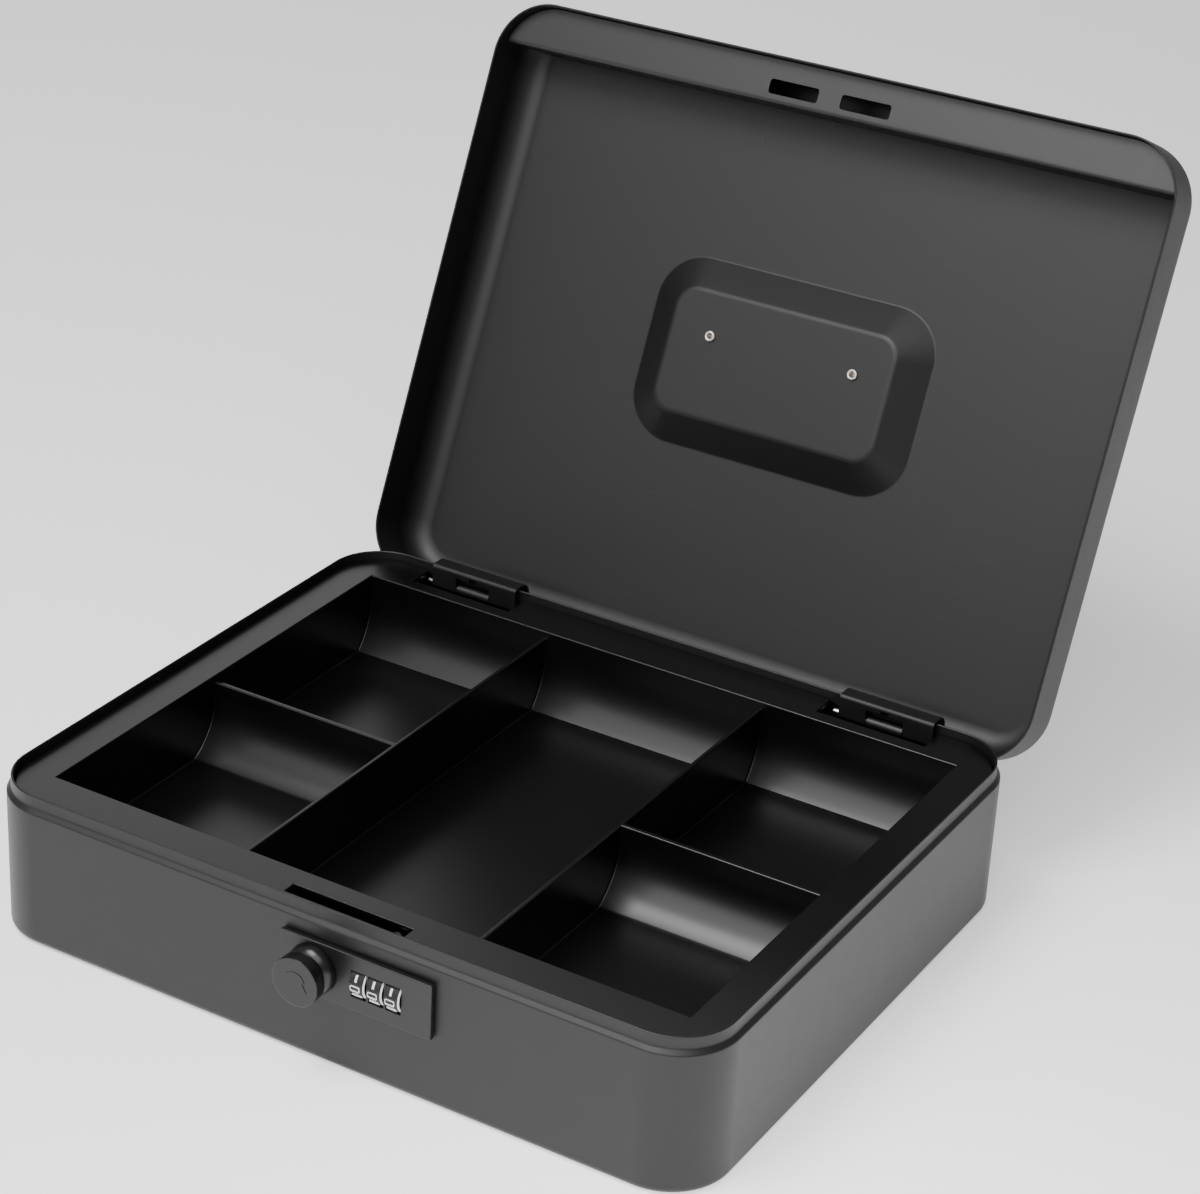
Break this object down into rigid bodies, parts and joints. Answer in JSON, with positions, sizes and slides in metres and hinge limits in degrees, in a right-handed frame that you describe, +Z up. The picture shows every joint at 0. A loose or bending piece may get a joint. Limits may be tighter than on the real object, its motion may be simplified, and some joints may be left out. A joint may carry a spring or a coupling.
{
  "type": "lockable cash box",
  "caption": "Lockable steel cash box with a hinged lid, lift-out coin tray, folding top handle and a front knob lock with number wheels.",
  "frame": {"origin": "centre of the base's underside", "axes": "+X to the right seen from the front, +Y to the back, +Z up"},
  "size_m": [0.3, 0.3768, 0.273],
  "materials": {
    "black_powder_coat": "satin fine-textured powder coat",
    "black_plastic": "satin",
    "wheel_black": "satin",
    "dark_zinc": "dark plated",
    "bare_steel": "bright"
  },
  "bodies": {
    "base": {"base_shell": "black_powder_coat", "tray_rail_left": "black_powder_coat", "tray_rail_right": "black_powder_coat", "hinge_bracket_left": "black_powder_coat", "hinge_bracket_right": "black_powder_coat", "hinge_pin_left": "bare_steel", "hinge_pin_right": "bare_steel", "lock_plate": "black_powder_coat", "lock_housing": "dark_zinc", "wheel_axle": "bare_steel", "detent_spring": "bare_steel", "lock_screw_1": "bare_steel", "lock_screw_2": "bare_steel", "lock_screw_3": "bare_steel", "lock_screw_4": "bare_steel"},
    "tray": {"coin_tray": "black_plastic"},
    "lid": {"lid_shell": "black_powder_coat", "strike_channel": "black_powder_coat", "hinge_leaf_left": "black_powder_coat", "hinge_leaf_right": "black_powder_coat", "handle_lug_left": "black_powder_coat", "handle_lug_right": "black_powder_coat", "handle_rivet_left": "bare_steel", "handle_rivet_right": "bare_steel"},
    "handle": {"handle_bail": "black_powder_coat"},
    "knob_assembly": {"knob": "black_powder_coat", "knob_spindle": "bare_steel", "latch_claw": "dark_zinc", "spindle_nut": "bare_steel"},
    "wheel_1": {"number_wheel_1": "wheel_black"},
    "wheel_2": {"number_wheel_2": "wheel_black"},
    "wheel_3": {"number_wheel_3": "wheel_black"}
  },
  "joints": [
    {"name": "lid_hinge", "type": "hinge", "parent": "base", "child": "lid", "pos_m": [0, 0.1184, 0.0544], "axis": [-1, 0, 0], "range_deg": [-113.7, 0]},
    {"name": "tray_lift", "type": "slide", "parent": "base", "child": "tray", "axis": [0, 0, 1], "range_m": [0, 0.08]},
    {"name": "handle_hinge", "type": "hinge", "parent": "lid", "child": "handle", "pos_m": [0.0013, 0.19595, 0.15818], "axis": [1, 0, 0], "range_deg": [-23.7, 66.3]},
    {"name": "knob_turn", "type": "hinge", "parent": "base", "child": "knob_assembly", "pos_m": [-0.0008, -0.1245, 0.0394], "axis": [0, -1, 0], "range_deg": [0, 90]},
    {"name": "number_wheel_turn_1", "type": "hinge", "parent": "base", "child": "wheel_1", "pos_m": [0.0179, -0.1196, 0.0394], "axis": [1, 0, 0], "continuous": true},
    {"name": "number_wheel_turn_2", "type": "hinge", "parent": "base", "child": "wheel_2", "pos_m": [0.025, -0.1196, 0.0394], "axis": [1, 0, 0], "continuous": true},
    {"name": "number_wheel_turn_3", "type": "hinge", "parent": "base", "child": "wheel_3", "pos_m": [0.0321, -0.1196, 0.0394], "axis": [1, 0, 0], "continuous": true}
  ]
}
